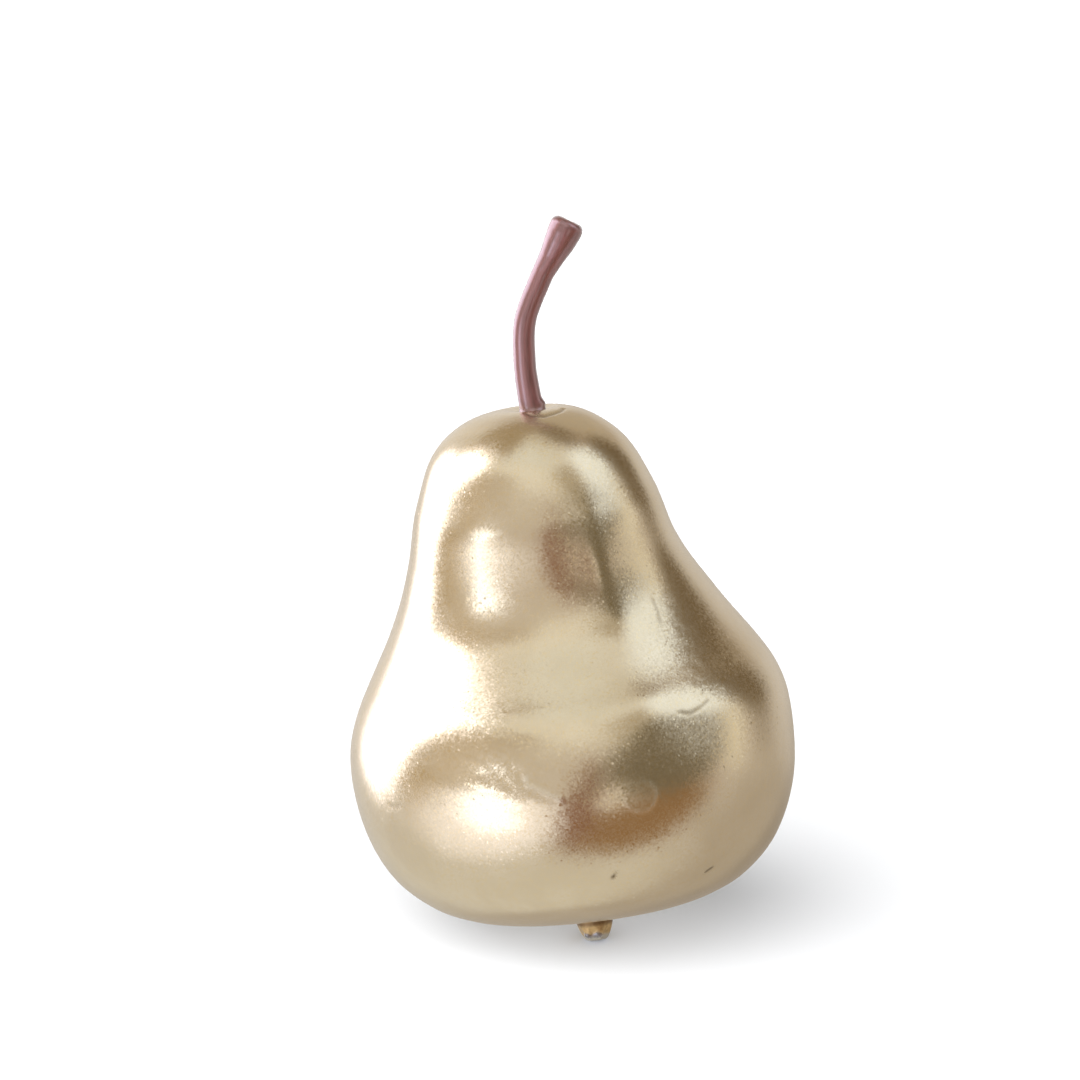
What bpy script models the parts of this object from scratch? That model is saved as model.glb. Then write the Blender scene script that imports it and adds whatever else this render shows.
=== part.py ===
"""Decorative gold pear that leans on a small flat spot, with a stem in its crown and a calyx under it.

The pear is drawn in its own frame, in millimetres: the origin is where the calyx meets the body, height
runs along the pear's axis, and turn 0 faces the row's -Y with positive turns towards +X. It is then
leaned over and set down on the ground plane of the row frame, which is in metres with +Z up.
"""

import math

import bpy
import numpy as np

MILLIMETRE = 0.001

# How the pear stands
LEAN_BACK_DEG = 16.0
LEAN_LEFT_DEG = 7.0
PLACE_X_MM = 4.15
PLACE_Y_MM = -8.62
PLACE_Z_MM = 4.06

# Outline of the body: (radius, height) from the calyx to the stem
OUTLINE_MM = (
    (4.0, 0.1),
    (11.0, 0.4),
    (17.5, 1.2),
    (23.4, 2.7),
    (29.8, 5.7),
    (36.6, 12.2),
    (41.4, 22.8),
    (42.2, 33.8),
    (39.5, 46.3),
    (32.0, 59.3),
    (25.3, 73.0),
    (22.6, 84.3),
    (18.6, 93.2),
    (11.8, 99.1),
    (5.8, 100.9),
    (2.6, 100.4),
)
BODY_ROWS = 44
BODY_COLUMNS = 80

# The neck sags a little towards -X, sways forward to -Y from the waist up, and nods at its top
NECK_SAG_MM = 1.6
NECK_SAG_HEIGHT_MM = 86.3
NECK_SAG_SPREAD_MM = 16.0
CROWN_RADIUS_MM = 12.0
NOD_DEG = 6.0
NOD_START_MM = 45.0
NOD_LENGTH_MM = 55.0
SWAY_DEG = 18.0
SWAY_HEIGHT_MM = 66.0
SWAY_SPREAD_MM = 14.0
BEND_START_MM = 15.0

# Broad lumps of the body: (turn in degrees, height, spread round, spread along, rise)
LUMPS = (
    (-90.0, 37.0, 30.0, 8.0, 0.6),
    (-90.0, 49.0, 30.0, 5.0, -0.5),
    (-85.0, 74.0, 20.0, 8.0, 0.2),
    (-80.0, 95.0, 10.0, 4.0, 0.3),
    (90.0, 9.0, 30.0, 7.0, 0.15),
    (90.0, 32.0, 30.0, 6.0, -0.3),
    (90.0, 43.0, 30.0, 4.0, 0.3),
    (90.0, 73.0, 20.0, 12.0, -0.2),
    (90.0, 66.0, 16.0, 6.0, -0.6),
    (-90.0, 62.0, 16.0, 5.0, -0.4),
    (0.0, 58.0, 20.0, 5.0, 1.6),
    (-12.0, 77.0, 9.0, 11.0, -0.9),
)

# Sockets that hold the stem and the calyx
SOCKET_GAP_MM = 0.3
STEM_SOCKET_FLOOR_MM = 90.4
CALYX_SOCKET_FLOOR_MM = 2.8

# Stem: (x, height) of its centre line, and (share of its length, radius) along it
STEM_LINE_MM = (
    (0.0, 90.7),
    (0.0, 96.4),
    (0.0, 100.4),
    (-0.1, 104.6),
    (-0.2, 108.2),
    (0.0, 111.7),
    (0.4, 115.2),
    (1.1, 118.2),
    (2.3, 121.1),
    (3.7, 123.7),
    (5.2, 126.6),
    (7.0, 129.4),
    (8.9, 132.3),
    (10.8, 135.2),
)
STEM_RADIUS_MM = (
    (0.00, 2.30),
    (0.20, 2.30),
    (0.25, 2.10),
    (0.34, 2.00),
    (0.60, 1.95),
    (0.78, 2.00),
    (0.86, 2.30),
    (0.93, 2.80),
    (0.97, 2.95),
    (1.00, 2.95),
)
STEM_ROWS = 36
STEM_COLUMNS = 20
STEM_END_ROUND_MM = 0.8
STEM_BURR_DEG = 90.0
STEM_BURR_HEIGHT_MM = 102.1
STEM_BURR_RISE_MM = 0.9

# Calyx: (radius, height) from inside its socket down to its tip
CALYX_MM = (
    (3.45, 2.5),
    (3.45, 0.1),
    (3.35, -0.8),
    (3.05, -1.9),
    (2.75, -3.0),
    (2.35, -3.75),
    (1.50, -4.1),
)
CALYX_COLUMNS = 24
CALYX_LOBES = 5
CALYX_LOBE_RISE_MM = 0.12

GOLD = (0.72, 0.62, 0.43)
ROSE_BROWN = (0.30, 0.12, 0.12)
BROWN_GOLD = (0.42, 0.29, 0.14)


def clear_scene():
    """Removes every object that the start-up file brings."""
    for item in list(bpy.data.objects):
        bpy.data.objects.remove(item, do_unlink=True)


def spline(points, count):
    """Centripetal Catmull-Rom curve through the points, as count evenly stepped samples."""
    knots = np.array(points, dtype=float)
    knots = np.vstack([2 * knots[0] - knots[1], knots, 2 * knots[-1] - knots[-2]])
    gaps = np.sqrt(np.linalg.norm(np.diff(knots, axis=0), axis=1))
    times = np.concatenate([[0.0], np.cumsum(gaps)])
    steps = np.linspace(times[1], times[-2], count)
    first = np.clip(np.searchsorted(times, steps, side="right") - 1, 1, len(points) - 1)
    t0, t1, t2, t3 = (times[first + shift][:, None] for shift in (-1, 0, 1, 2))
    p0, p1, p2, p3 = (knots[first + shift] for shift in (-1, 0, 1, 2))
    s = steps[:, None]
    a1 = (t1 - s) / (t1 - t0) * p0 + (s - t0) / (t1 - t0) * p1
    a2 = (t2 - s) / (t2 - t1) * p1 + (s - t1) / (t2 - t1) * p2
    a3 = (t3 - s) / (t3 - t2) * p2 + (s - t2) / (t3 - t2) * p3
    b1 = (t2 - s) / (t2 - t0) * a1 + (s - t0) / (t2 - t0) * a2
    b2 = (t3 - s) / (t3 - t1) * a2 + (s - t1) / (t3 - t1) * a3
    return (t2 - s) / (t2 - t1) * b1 + (s - t1) / (t2 - t1) * b2


def smooth_step(value):
    """Eases from 0 to 1 as value does, flat at both ends."""
    held = np.clip(value, 0.0, 1.0)
    return held * held * (3.0 - 2.0 * held)


def turns(columns):
    """Turns of the columns round the axis, in radians."""
    return np.linspace(-math.pi, math.pi, columns, endpoint=False)


def lump_rise(turn, radius, height):
    """Sum of the lumps: each is a soft hill of its own rise, widths and place."""
    rise = np.zeros_like(radius)
    for turn_deg, centre, spread_round, spread_along, top in LUMPS:
        away = (turn - math.radians(turn_deg) + math.pi) % (2.0 * math.pi) - math.pi
        round_part = (radius * away / spread_round) ** 2
        along_part = ((height - centre) / spread_along) ** 2
        rise += top * np.exp(-0.5 * (round_part + along_part))
    return rise


def centre_line(radius, height):
    """X of each ring's centre: the neck's sag, which fades to the stem's line across the crown."""
    sag = -NECK_SAG_MM * np.exp(-0.5 * ((height - NECK_SAG_HEIGHT_MM) / NECK_SAG_SPREAD_MM) ** 2)
    rim = OUTLINE_MM[-1][0]
    to_stem = smooth_step((CROWN_RADIUS_MM - radius) / (CROWN_RADIUS_MM - rim))
    to_stem = np.where(height > NECK_SAG_HEIGHT_MM, to_stem, 0.0)
    return sag * (1.0 - to_stem)


def body_rings():
    """Rings of the body from its lower socket's floor, over the skin, to its upper socket's floor."""
    outline = spline(OUTLINE_MM, BODY_ROWS)
    turn, radius = np.meshgrid(turns(BODY_COLUMNS), outline[:, 0])
    height = np.repeat(outline[:, 1][:, None], BODY_COLUMNS, axis=1)
    along = np.gradient(outline, axis=0)
    along /= np.linalg.norm(along, axis=1)[:, None]
    rise = lump_rise(turn, radius, height)
    centre = centre_line(radius, height)
    radius = radius + rise * along[:, 1][:, None]
    height = height - rise * along[:, 0][:, None]
    skin = np.stack([centre + radius * np.sin(turn), -radius * np.cos(turn), height], axis=-1)

    rim_radius, rim_height = OUTLINE_MM[-1]
    foot_radius = CALYX_MM[0][0] + SOCKET_GAP_MM
    low = [ring_at(foot_radius, CALYX_SOCKET_FLOOR_MM), ring_at(foot_radius, OUTLINE_MM[0][1] + 0.2)]
    high = [ring_at(rim_radius, level) for level in np.linspace(rim_height, STEM_SOCKET_FLOOR_MM, 4)[1:]]
    return np.concatenate([np.array(low), skin, np.array(high)])


def ring_at(radius, height):
    """Level ring of the body's columns round the pear's axis."""
    turn = turns(BODY_COLUMNS)
    return np.stack([radius * np.sin(turn), -radius * np.cos(turn), np.full_like(turn, height)], axis=-1)


def stem_rings():
    """Rings square to the stem's centre line, with a rounded far end and a burr above the crown."""
    line = spline(STEM_LINE_MM, STEM_ROWS)
    share = np.linspace(0.0, 1.0, STEM_ROWS)
    radius = np.interp(share, *np.array(STEM_RADIUS_MM).T)
    along = np.gradient(line, axis=0)
    along /= np.linalg.norm(along, axis=1)[:, None]
    ease = np.radians(np.linspace(0.0, 75.0, 4))[1:]
    round_off = STEM_END_ROUND_MM
    line = np.vstack([line, line[-1] + along[-1] * (round_off * np.sin(ease))[:, None]])
    radius = np.concatenate([radius, radius[-1] - round_off * (1.0 - np.cos(ease))])
    along = np.vstack([along, np.repeat(along[-1:], len(ease), axis=0)])
    turn = turns(STEM_COLUMNS)[None, :]
    across = radius[:, None] * np.sin(turn)
    toward = radius[:, None] * np.cos(turn)
    away = turn - math.radians(STEM_BURR_DEG)
    level = line[:, 1][:, None]
    burr = np.exp(-0.5 * ((away / 0.6) ** 2 + ((level - STEM_BURR_HEIGHT_MM) / 0.6) ** 2))
    across = across + STEM_BURR_RISE_MM * burr
    x = line[:, 0][:, None] + across * along[:, 1][:, None]
    z = level - across * along[:, 0][:, None]
    return np.stack([x, -toward, z], axis=-1)


def calyx_rings():
    """Rings of the calyx, whose free end is drawn out into soft lobes."""
    turn = turns(CALYX_COLUMNS)
    rings = []
    for radius, height in reversed(CALYX_MM):
        depth = smooth_step((0.1 - height) / 3.6)
        lobe = 1.0 + CALYX_LOBE_RISE_MM * depth * np.cos(CALYX_LOBES * turn)
        wide = radius * lobe
        rings.append(np.stack([wide * np.sin(turn), -wide * np.cos(turn), np.full_like(turn, height)], axis=-1))
    return np.array(rings)


def tilt_at(height):
    """Forward tilt of the centre line: a smooth step for the nod and a bell curve for the sway."""
    nod = math.radians(NOD_DEG) * smooth_step((height - NOD_START_MM) / NOD_LENGTH_MM)
    sway = math.radians(SWAY_DEG) * np.exp(-0.5 * ((height - SWAY_HEIGHT_MM) / SWAY_SPREAD_MM) ** 2)
    return nod + sway


def bend(points):
    """Bends the pear towards -Y: each level stays square to the tilted centre line."""
    height = points[..., 2]
    steps = np.linspace(BEND_START_MM, 2.0 * height.max(), 2000)
    tilt = tilt_at(steps)
    middle = 0.5 * (tilt[1:] + tilt[:-1])
    stride = steps[1] - steps[0]
    forward = -np.concatenate([[0.0], np.cumsum(np.sin(middle)) * stride])
    upward = np.concatenate([[0.0], np.cumsum(np.cos(middle)) * stride])
    above = height > BEND_START_MM
    centre_y = np.where(above, np.interp(height, steps, forward), 0.0)
    centre_z = np.where(above, np.interp(height, steps, upward) + BEND_START_MM, height)
    tilt = tilt_at(height)
    y = centre_y + points[..., 1] * np.cos(tilt)
    z = centre_z + points[..., 1] * np.sin(tilt)
    return np.stack([points[..., 0], y, z], axis=-1)


def stand(points):
    """Leans points of the pear's frame over, sets them down and presses flat what would pass the ground."""
    back = math.radians(-LEAN_BACK_DEG)
    left = math.radians(-LEAN_LEFT_DEG)
    lean_back = np.array([[1, 0, 0], [0, math.cos(back), -math.sin(back)], [0, math.sin(back), math.cos(back)]])
    lean_left = np.array([[math.cos(left), 0, math.sin(left)], [0, 1, 0], [-math.sin(left), 0, math.cos(left)]])
    placed = bend(points) @ (lean_back @ lean_left).T + np.array([PLACE_X_MM, PLACE_Y_MM, PLACE_Z_MM])
    placed[..., 2] = np.maximum(placed[..., 2], 0.0)
    return placed * MILLIMETRE


def solid_from_rings(name, rings, color, metallic, roughness):
    """Closes a stack of rings with a point at each end, and gives the solid its material."""
    rows, columns = rings.shape[:2]
    points = [tuple(point) for point in rings.reshape(-1, 3)]
    points.append(tuple(rings[0].mean(axis=0)))
    points.append(tuple(rings[-1].mean(axis=0)))
    first_end = rows * columns
    last_end = first_end + 1
    faces = []
    for row in range(rows - 1):
        for column in range(columns):
            after = (column + 1) % columns
            low = row * columns
            high = low + columns
            faces.append((low + column, low + after, high + after))
            faces.append((low + column, high + after, high + column))
    top = (rows - 1) * columns
    for column in range(columns):
        after = (column + 1) % columns
        faces.append((first_end, after, column))
        faces.append((last_end, top + column, top + after))
    mesh = bpy.data.meshes.new(name)
    mesh.from_pydata(points, [], faces)
    mesh.polygons.foreach_set("use_smooth", [True] * len(faces))
    mesh.update()
    solid = bpy.data.objects.new(name, mesh)
    bpy.context.scene.collection.objects.link(solid)
    material = bpy.data.materials.new(name)
    material.use_nodes = True
    shader = material.node_tree.nodes["Principled BSDF"]
    shader.inputs["Base Color"].default_value = (*color, 1.0)
    shader.inputs["Metallic"].default_value = metallic
    shader.inputs["Roughness"].default_value = roughness
    mesh.materials.append(material)
    return solid


def build():
    """Builds the three pieces of the pear."""
    clear_scene()
    solid_from_rings("pear_body", stand(body_rings()), GOLD, 0.9, 0.3)
    solid_from_rings("stem", stand(stem_rings()), ROSE_BROWN, 0.0, 0.2)
    solid_from_rings("calyx", stand(calyx_rings()), BROWN_GOLD, 0.6, 0.4)


build()
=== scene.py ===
"""Decorative gold pear on a pale floor in soft studio light.

The pear's own frame is in millimetres: its origin is where the calyx meets the body, height runs along the
pear's axis, turn 0 faces the viewer and positive turns go to the viewer's right. Stance leans that frame
over and sets it down in the row frame, which is in metres with +Z up.
"""

import logging
import math
from dataclasses import dataclass
from enum import Enum

import bpy
import numpy as np
from mathutils import Matrix, Vector


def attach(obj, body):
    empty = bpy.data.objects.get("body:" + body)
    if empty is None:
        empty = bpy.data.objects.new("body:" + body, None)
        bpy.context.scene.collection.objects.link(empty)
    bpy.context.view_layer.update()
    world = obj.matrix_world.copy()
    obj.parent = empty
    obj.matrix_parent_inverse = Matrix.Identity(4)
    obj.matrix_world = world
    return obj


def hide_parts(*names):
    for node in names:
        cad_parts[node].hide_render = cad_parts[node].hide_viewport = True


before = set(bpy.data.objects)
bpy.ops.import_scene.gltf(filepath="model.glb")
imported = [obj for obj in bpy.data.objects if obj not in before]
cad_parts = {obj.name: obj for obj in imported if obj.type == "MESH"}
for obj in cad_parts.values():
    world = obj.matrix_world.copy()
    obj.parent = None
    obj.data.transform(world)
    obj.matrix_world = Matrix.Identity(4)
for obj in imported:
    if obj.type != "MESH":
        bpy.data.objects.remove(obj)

MILLIMETRE = 0.001
NOISE_SPAN = (0.35, 0.65)
LOG = logging.getLogger("gold_pear")


class Slot(Enum):
    """Material slots of the record that the pieces take their finishes from."""

    GOLD_SKIN = "gold_skin"
    STEM = "stem"
    CALYX = "calyx"


def smooth_step(value: np.ndarray) -> np.ndarray:
    """Eases from 0 to 1 as the value does, as 3v² - 2v³, flat at both ends."""
    held = np.clip(value, 0.0, 1.0)
    return held * held * (3.0 - 2.0 * held)


def spline(points: tuple[tuple[float, float], ...], count: int) -> np.ndarray:
    """Centripetal Catmull-Rom curve: each span blends lines through its four nearest points.

    Args:
        points: Points that the curve passes through.
        count: Number of evenly stepped samples.

    Returns:
        Array of count by 2 samples.
    """
    knots = np.array(points, dtype=float)
    knots = np.vstack([2 * knots[0] - knots[1], knots, 2 * knots[-1] - knots[-2]])
    gaps = np.sqrt(np.linalg.norm(np.diff(knots, axis=0), axis=1))
    times = np.concatenate([[0.0], np.cumsum(gaps)])
    steps = np.linspace(times[1], times[-2], count)
    first = np.clip(np.searchsorted(times, steps, side="right") - 1, 1, len(points) - 1)
    t0, t1, t2, t3 = (times[first + shift][:, None] for shift in (-1, 0, 1, 2))
    p0, p1, p2, p3 = (knots[first + shift] for shift in (-1, 0, 1, 2))
    s = steps[:, None]
    a1 = (t1 - s) / (t1 - t0) * p0 + (s - t0) / (t1 - t0) * p1
    a2 = (t2 - s) / (t2 - t1) * p1 + (s - t1) / (t2 - t1) * p2
    a3 = (t3 - s) / (t3 - t2) * p2 + (s - t2) / (t3 - t2) * p3
    b1 = (t2 - s) / (t2 - t0) * a1 + (s - t0) / (t2 - t0) * a2
    b2 = (t3 - s) / (t3 - t1) * a2 + (s - t1) / (t3 - t1) * a3
    return (t2 - s) / (t2 - t1) * b1 + (s - t1) / (t2 - t1) * b2


def turns(columns: int) -> np.ndarray:
    """Turns of evenly spaced columns round an axis, in radians from -pi up to pi."""
    return np.linspace(-math.pi, math.pi, columns, endpoint=False)


def dense_turns(columns: int, half_front: float, density: float, fade: float = 30.0) -> np.ndarray:
    """Turns that stand closer at the front than at the back.

    The density falls by a smooth step past the front's edge, and columns stand at even steps of its sum.

    Args:
        columns: Number of columns.
        half_front: Half width of the dense front, in degrees.
        density: How many times closer the front's columns stand than the back's.
        fade: Degrees past the front's edge over which the density falls.

    Returns:
        Turns in radians from -pi up to pi.
    """
    samples = 7201
    fine = np.linspace(-math.pi, math.pi, samples)
    past = (np.degrees(np.abs(fine)) - half_front) / fade
    weight = density + (1.0 - density) * smooth_step(past)
    total = np.concatenate([[0.0], np.cumsum(0.5 * (weight[1:] + weight[:-1]))])
    return np.interp(np.linspace(0.0, total[-1], columns, endpoint=False), total, fine)


@dataclass(frozen=True)
class Stance:
    """How the pear stands: the forward sway and nod of its neck, its lean and its place on the ground.

    Lengths are in millimetres and angles in degrees.
    """

    lean_back: float = 16.0
    lean_left: float = 7.0
    place: tuple[float, float, float] = (4.15, -8.62, 4.06)
    nod: float = 6.0
    nod_start: float = 45.0
    nod_length: float = 55.0
    sway: float = 18.0
    sway_height: float = 66.0
    sway_spread: float = 14.0
    bend_start: float = 15.0
    bend_steps: int = 2000

    def turned(self) -> np.ndarray:
        """Rotation from the pear's frame to the row frame: the left lean, then the lean back."""
        back = math.radians(-self.lean_back)
        left = math.radians(-self.lean_left)
        cosine, sine = math.cos(back), math.sin(back)
        lean_back = np.array([[1, 0, 0], [0, cosine, -sine], [0, sine, cosine]])
        cosine, sine = math.cos(left), math.sin(left)
        lean_left = np.array([[cosine, 0, sine], [0, 1, 0], [-sine, 0, cosine]])
        return lean_back @ lean_left

    def tilt_at(self, height: np.ndarray) -> np.ndarray:
        """Forward tilt of the centre line: a smooth step of the height plus a bell curve at the waist."""
        nod = math.radians(self.nod) * smooth_step((height - self.nod_start) / self.nod_length)
        bell = np.exp(-0.5 * ((height - self.sway_height) / self.sway_spread) ** 2)
        return nod + math.radians(self.sway) * bell

    def bent(self, points: np.ndarray) -> np.ndarray:
        """Bends what is above the bottom towards the viewer.

        The centre line is the running sum of the tilt's sine and cosine, and each level stays square to it.

        Args:
            points: Array whose last axis is x, y and height.

        Returns:
            Bent points of the same shape.
        """
        height = points[..., 2]
        steps = np.linspace(self.bend_start, 2.0 * height.max(), self.bend_steps)
        tilt = self.tilt_at(steps)
        stride = steps[1] - steps[0]
        middle = 0.5 * (tilt[1:] + tilt[:-1])
        forward = -np.concatenate([[0.0], np.cumsum(np.sin(middle)) * stride])
        upward = np.concatenate([[0.0], np.cumsum(np.cos(middle)) * stride])
        above = height > self.bend_start
        centre_y = np.where(above, np.interp(height, steps, forward), 0.0)
        centre_z = np.where(above, np.interp(height, steps, upward) + self.bend_start, height)
        tilt = self.tilt_at(height)
        y = centre_y + points[..., 1] * np.cos(tilt)
        z = centre_z + points[..., 1] * np.sin(tilt)
        return np.stack([points[..., 0], y, z], axis=-1)

    def stand(self, points: np.ndarray) -> np.ndarray:
        """Bends and leans points, sets them down and presses flat what would pass the ground.

        Args:
            points: Array in the pear's frame, in millimetres.

        Returns:
            Array in the row frame, in metres.
        """
        placed = self.bent(points) @ self.turned().T + np.array(self.place)
        placed[..., 2] = np.maximum(placed[..., 2], 0.0)
        return placed * MILLIMETRE


@dataclass(frozen=True)
class Swell:
    """Soft hill or hollow of a skin, an ellipse drawn out across and along its slant.

    Height and widths are millimetres on the skin, turn and slant are degrees, and a hollow has a negative
    rise.
    """

    turn: float
    height: float
    across: float
    along: float
    rise: float
    slant: float = 0.0

    def rise_at(self, turn: np.ndarray, radius: np.ndarray, height: np.ndarray) -> np.ndarray:
        """Height of the hill: its rise times a bell curve of the distance from its middle.

        Args:
            turn: Turns in radians.
            radius: Radii of the skin.
            height: Heights of the skin.

        Returns:
            Rise at each point, in millimetres.
        """
        away = (turn - math.radians(self.turn) + math.pi) % (2.0 * math.pi) - math.pi
        lean = math.radians(self.slant)
        side = radius * away
        up = height - self.height
        across = side * math.cos(lean) - up * math.sin(lean)
        along = side * math.sin(lean) + up * math.cos(lean)
        return self.rise * np.exp(-0.5 * ((across / self.across) ** 2 + (along / self.along) ** 2))


@dataclass(frozen=True)
class Stroke:
    """Fine line on a skin, such as a crease or a ridge: its points, width, rise and shade.

    Points are turn in degrees, radius and height. Width is the spread of its bell-shaped section. A rise
    below nothing is a groove. Shade is painted light: from -1, painted shade in a groove or pit, to 1, a
    painted highlight on a ridge.
    """

    points: tuple[tuple[float, float, float], ...]
    width: float
    rise: float
    shade: float

    def cover(self, spots: np.ndarray) -> np.ndarray:
        """How much of the line lies on each spot: a bell curve of the distance to its nearest stretch.

        Args:
            spots: Array of points of the skin in the pear's frame.

        Returns:
            Share from 0 to 1 for each spot.
        """
        turn, radius, height = np.array(self.points, dtype=float).T
        turn = np.radians(turn)
        line = np.stack([radius * np.sin(turn), -radius * np.cos(turn), height], axis=-1)
        nearest = np.full(spots.shape[:-1], np.inf)
        for start, end in zip(line[:-1], line[1:]):
            run = end - start
            share = np.clip((spots - start) @ run / (run @ run), 0.0, 1.0)
            away = np.linalg.norm(spots - start - share[..., None] * run, axis=-1)
            nearest = np.minimum(nearest, away)
        return np.exp(-0.5 * (nearest / self.width) ** 2)


@dataclass(frozen=True)
class Crinkle:
    """Foil-like crinkling of the paint inside soft patches. Lengths are in millimetres."""

    patches: tuple[Swell, ...]
    rise: float = 0.05
    finest: float = 1.5
    coarsest: float = 4.5
    waves: int = 14
    seed: int = 7

    def rise_at(self, spots: np.ndarray) -> np.ndarray:
        """Height of the creases: the mean of folded sine waves that run in seeded random directions.

        Args:
            spots: Array of points of the skin in the pear's frame.

        Returns:
            Rise at each spot where the crinkling is full.
        """
        draw = np.random.default_rng(self.seed)
        way = draw.normal(size=(self.waves, 3))
        way /= np.linalg.norm(way, axis=1)[:, None]
        length = draw.uniform(self.finest, self.coarsest, self.waves)
        start = draw.uniform(0.0, 2.0 * math.pi, self.waves)
        phase = spots @ (way / length[:, None]).T * math.pi + start
        return self.rise * (np.abs(np.sin(phase)) - 2.0 / math.pi).mean(axis=-1) * math.sqrt(self.waves)


class Skin:
    """Closed surface made of a stack of rings."""

    @staticmethod
    def closed(name: str, rings: np.ndarray, **shades: np.ndarray) -> bpy.types.Object:
        """Makes a mesh of the rings: quads between neighbours and a fan of triangles over each end.

        Args:
            name: Name of the new object.
            rings: Array of rows by columns by 3, in the row frame.
            shades: Attributes of the points by name, arrays of rows by columns.

        Returns:
            The linked object, with smooth shading.
        """
        rows, columns = rings.shape[:2]
        corner = np.arange(rows * columns).reshape(rows, columns)
        after = np.roll(corner, -1, axis=1)
        quads = np.stack([corner[:-1], after[:-1], after[1:], corner[1:]], axis=-1).reshape(-1, 4)
        low = rows * columns
        high = low + 1
        low_fan = np.stack([np.full(columns, low), after[0], corner[0]], axis=-1)
        high_fan = np.stack([np.full(columns, high), corner[-1], after[-1]], axis=-1)
        points = np.vstack([rings.reshape(-1, 3), rings[0].mean(axis=0), rings[-1].mean(axis=0)])
        mesh = bpy.data.meshes.new(name)
        mesh.from_pydata(points.tolist(), [], quads.tolist() + low_fan.tolist() + high_fan.tolist())
        mesh.polygons.foreach_set("use_smooth", np.ones(len(mesh.polygons), dtype=bool))
        for shade_name, values in shades.items():
            ends = [values[0].mean(), values[-1].mean()]
            layer = mesh.attributes.new(shade_name, "FLOAT", "POINT")
            layer.data.foreach_set("value", np.concatenate([values.ravel(), ends]).astype(np.float32))
        mesh.update()
        piece = bpy.data.objects.new(name, mesh)
        bpy.context.scene.collection.objects.link(piece)
        return piece


class NodeKit:
    """Small helper that adds and joins the nodes of one node tree."""

    def __init__(self, tree: bpy.types.NodeTree) -> None:
        """Keeps the tree and empties it."""
        self.tree = tree
        tree.nodes.clear()

    def add(self, kind: str, **settings: object) -> bpy.types.Node:
        """Adds a node and sets its properties.

        Args:
            kind: Node type, such as ShaderNodeMath.
            settings: Properties of the node by name.

        Returns:
            The new node.
        """
        node = self.tree.nodes.new(kind)
        for key, value in settings.items():
            setattr(node, key, value)
        return node

    def plug(self, socket: bpy.types.NodeSocket, value: object) -> None:
        """Joins an output to the socket, or sets the socket to a constant."""
        if isinstance(value, bpy.types.NodeSocket):
            self.tree.links.new(value, socket)
        else:
            socket.default_value = value

    def feed(self, node: bpy.types.Node, values: dict[str, object]) -> None:
        """Joins outputs to a node's inputs, given by name, or sets the inputs to constants."""
        for name, value in values.items():
            self.plug(node.inputs[name], value)

    def math(self, operation: str, *values: object) -> bpy.types.NodeSocket:
        """Adds a Math node of the operation.

        Args:
            operation: Name of the operation.
            values: Inputs in order, numbers or outputs.

        Returns:
            Its output.
        """
        node = self.add("ShaderNodeMath", operation=operation)
        for socket, value in zip(node.inputs, values):
            self.plug(socket, value)
        return node.outputs[0]

    def vector(self, operation: str, *values: object, scale: object = 1.0) -> bpy.types.Node:
        """Adds a Vector Math node of the operation.

        Args:
            operation: Name of the operation.
            values: Vectors in order, constants or outputs.
            scale: Number that the scale operation uses.

        Returns:
            The new node. A number comes from its output Value, a vector from its first output.
        """
        node = self.add("ShaderNodeVectorMath", operation=operation)
        for socket, value in zip(node.inputs, values):
            self.plug(socket, value)
        if operation == "SCALE":
            self.plug(node.inputs["Scale"], scale)
        return node

    def mix(self, share: object, first: object, second: object) -> bpy.types.NodeSocket:
        """Mixes two colours by a share from 0 to 1. A Mix node's colour inputs are its sockets 6 and 7."""
        node = self.add("ShaderNodeMix", data_type="RGBA")
        self.plug(node.inputs[0], share)
        self.plug(node.inputs[6], first)
        self.plug(node.inputs[7], second)
        return node.outputs[2]

    def ramp(self, value: object, low: float, high: float, start: float, end: float) -> bpy.types.NodeSocket:
        """Carries a value from low..high to start..end, held at both ends."""
        node = self.add("ShaderNodeMapRange", clamp=True)
        for socket, number in zip(node.inputs, (value, low, high, start, end)):
            self.plug(socket, number)
        return node.outputs[0]

    def ease(self, value: object, low: float, high: float, start: float, end: float) -> bpy.types.NodeSocket:
        """Carries a value from low..high to start..end by a smooth step, held at both ends."""
        node = self.add("ShaderNodeMapRange", clamp=True, interpolation_type="SMOOTHSTEP")
        for socket, number in zip(node.inputs, (value, low, high, start, end)):
            self.plug(socket, number)
        return node.outputs[0]

    def millimetres(self) -> bpy.types.NodeSocket:
        """Place on the piece in the row frame, in millimetres."""
        place = self.add("ShaderNodeTexCoord").outputs["Object"]
        return self.vector("SCALE", place, scale=1.0 / MILLIMETRE).outputs[0]

    def noise(self, place: object, per_mm: float, detail: float) -> bpy.types.NodeSocket:
        """Cloudy noise from 0 to 1 at a place given in millimetres."""
        node = self.add("ShaderNodeTexNoise")
        self.feed(node, {"Vector": place, "Scale": per_mm, "Detail": detail})
        return node.outputs["Fac"]

    def bump(self, height: object, strength: float, depth: float) -> bpy.types.NodeSocket:
        """Normal of a surface with fine relief, whose depth is in millimetres."""
        node = self.add("ShaderNodeBump")
        self.feed(node, {"Height": height, "Strength": strength, "Distance": depth * MILLIMETRE})
        return node.outputs[0]

    def shade(self, name: str) -> bpy.types.NodeSocket:
        """Value of one of the piece's own attributes."""
        return self.add("ShaderNodeAttribute", attribute_name=name).outputs["Fac"]


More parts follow.
